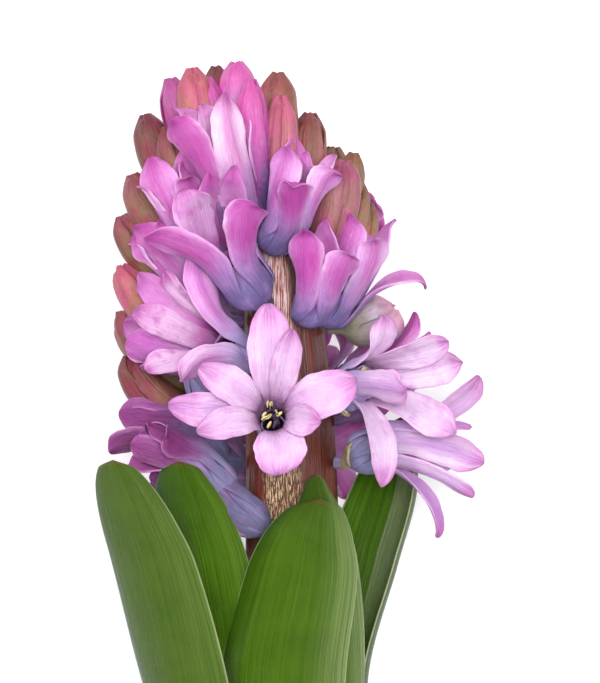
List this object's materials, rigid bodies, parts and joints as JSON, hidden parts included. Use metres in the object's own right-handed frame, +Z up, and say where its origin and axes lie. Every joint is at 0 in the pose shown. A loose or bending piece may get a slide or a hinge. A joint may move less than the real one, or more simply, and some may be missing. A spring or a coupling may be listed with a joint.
{
  "type": "hyacinth flower",
  "caption": "Cut hyacinth flower lying on its back: a fluted stalk with open and half-open florets, closed buds towards the tip, and strap leaves round its base.",
  "frame": {"origin": "on the surface that the flower lies on, under the middle of its box", "axes": "+Y from the cut end along the stalk to the crown, +Z up from the surface, and +X to the right seen from above with the crown away from the viewer"},
  "size_m": [0.0678, 0.1633, 0.055],
  "materials": {
    "floret": "satin petal, pale lilac inside with magenta edges and a slate-blue tube",
    "bud": "satin, salmon-brown, olive and crimson with darker ribs",
    "stamens": "matte, near black purple with cream anthers",
    "leaf": "satin green with fine parallel veins and a thin pale edge",
    "stalk": "satin, dark red-brown with tan streaks and flecks"
  },
  "bodies": {
    "root": {"bud_01": "bud", "bud_02": "bud", "bud_03": "bud", "bud_04": "bud", "bud_05": "bud", "bud_06": "bud", "bud_07": "bud", "bud_08": "bud", "bud_09": "bud", "bud_10": "bud", "bud_11": "bud", "bud_12": "bud", "bud_13": "bud", "bud_14": "bud", "bud_15": "bud", "bud_16": "bud", "bud_17": "bud", "bud_18": "bud", "bud_19": "bud", "bud_20": "bud", "bud_21": "bud", "bud_22": "bud", "bud_back_1": "bud", "bud_back_2": "bud", "bud_back_3": "bud", "floret_back_1": "floret", "floret_back_2": "floret", "floret_back_3": "floret", "floret_back_4": "floret", "floret_back_5": "floret", "floret_back_6": "floret", "floret_back_7": "floret", "floret_back_8": "floret", "floret_centre": "floret", "floret_front": "floret", "floret_left": "floret", "floret_left_behind": "floret", "floret_left_inner": "floret", "floret_left_under": "floret", "floret_low_front": "floret", "floret_low_inner": "floret", "floret_low_left": "floret", "floret_low_right": "floret", "floret_lowest": "floret", "floret_middle": "floret", "floret_right": "floret", "floret_right_tall": "floret", "floret_right_under": "floret", "floret_top": "floret", "floret_upper_left": "floret", "leaf_back": "leaf", "leaf_front": "leaf", "leaf_front_inner": "leaf", "leaf_left_inner": "leaf", "leaf_left_outer": "leaf", "leaf_right": "leaf", "stalk": "stalk", "stamens_front": "stamens"}
  },
  "joints": []
}
